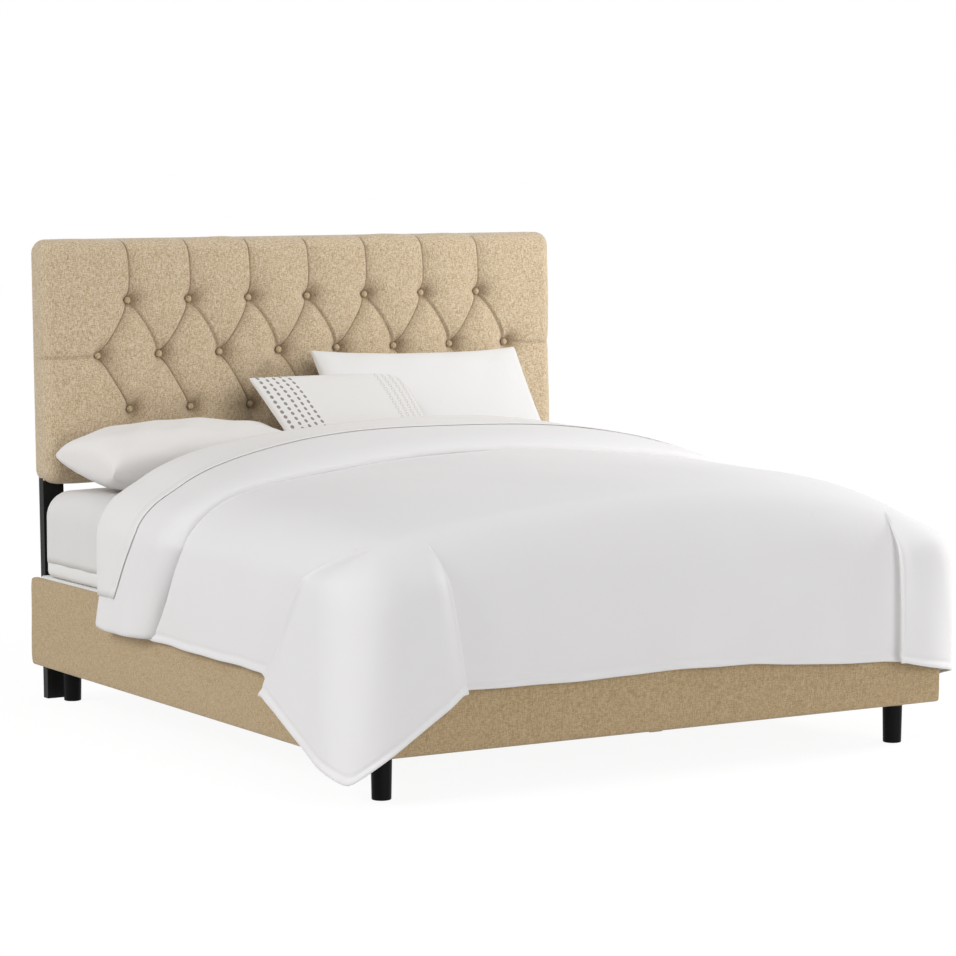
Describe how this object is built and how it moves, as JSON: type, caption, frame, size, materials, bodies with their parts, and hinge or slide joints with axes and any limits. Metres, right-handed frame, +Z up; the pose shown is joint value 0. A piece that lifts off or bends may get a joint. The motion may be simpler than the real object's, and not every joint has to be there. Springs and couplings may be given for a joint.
{
  "type": "tufted bed",
  "caption": "Upholstered platform bed with a button-tufted headboard, padded rails and slats, dressed with mattress, duvet, sheets and pillows.",
  "frame": {"origin": "on the floor under the middle of the dressed bed's outline", "axes": "+Z up, +Y from the foot to the headboard, +X to the right for someone who faces the headboard from the foot"},
  "size_m": [2.154, 2.231, 1.4535],
  "materials": {
    "linen": "sandy beige slubbed linen weave over padding",
    "linen_button": "the same linen, drawn tight over a button",
    "pine": "planed unfinished softwood",
    "plywood": "raw plywood",
    "black_post": "flat board painted satin black",
    "black_plastic": "moulded satin black",
    "foam": "open-cell upholstery foam",
    "dust_cloth": "thin black non-woven cloth",
    "twine": "waxed upholstery twine",
    "washer": "moulded tufting washer",
    "zinc_steel": "bright zinc plate",
    "black_steel": "black powder coat",
    "ticking": "plain woven foundation cover",
    "mattress_cloth": "knitted mattress cover",
    "white_sheet": "smooth white percale",
    "white_duvet": "smooth white cotton over down",
    "white_pillow": "smooth white cotton",
    "embroidered_pillow": "white cotton with a border of small taupe embroidered dots"
  },
  "bodies": {
    "root": {"accent_pillow": "embroidered_pillow", "center_beam": "pine", "center_legs": "black_plastic", "corner_brackets": "black_steel", "duvet": "white_duvet", "fitted_sheet": "white_sheet", "flat_sheet": "white_sheet", "foot_board": "plywood", "foot_wrap": "linen", "foundation": "ticking", "headboard_back_cloth": "dust_cloth", "headboard_buttons": "linen_button", "headboard_cover": "linen", "headboard_foam": "foam", "headboard_panel": "plywood", "headboard_post_left": "black_post", "headboard_post_right": "black_post", "headboard_rails": "pine", "headboard_stiles": "pine", "ledger_left": "pine", "ledger_right": "pine", "leg_blocks": "pine", "leg_bolts": "zinc_steel", "leg_front_left": "black_plastic", "leg_front_right": "black_plastic", "leg_head_left": "black_plastic", "leg_head_right": "black_plastic", "leg_plates": "pine", "mattress": "mattress_cloth", "post_bolts": "zinc_steel", "post_brackets": "black_steel", "sham": "white_pillow", "side_board_left": "plywood", "side_board_right": "plywood", "side_wrap_left": "linen", "side_wrap_right": "linen", "slats": "pine", "sleeping_pillow": "white_pillow", "tufting_twine": "twine", "twine_washers": "washer"}
  },
  "joints": []
}
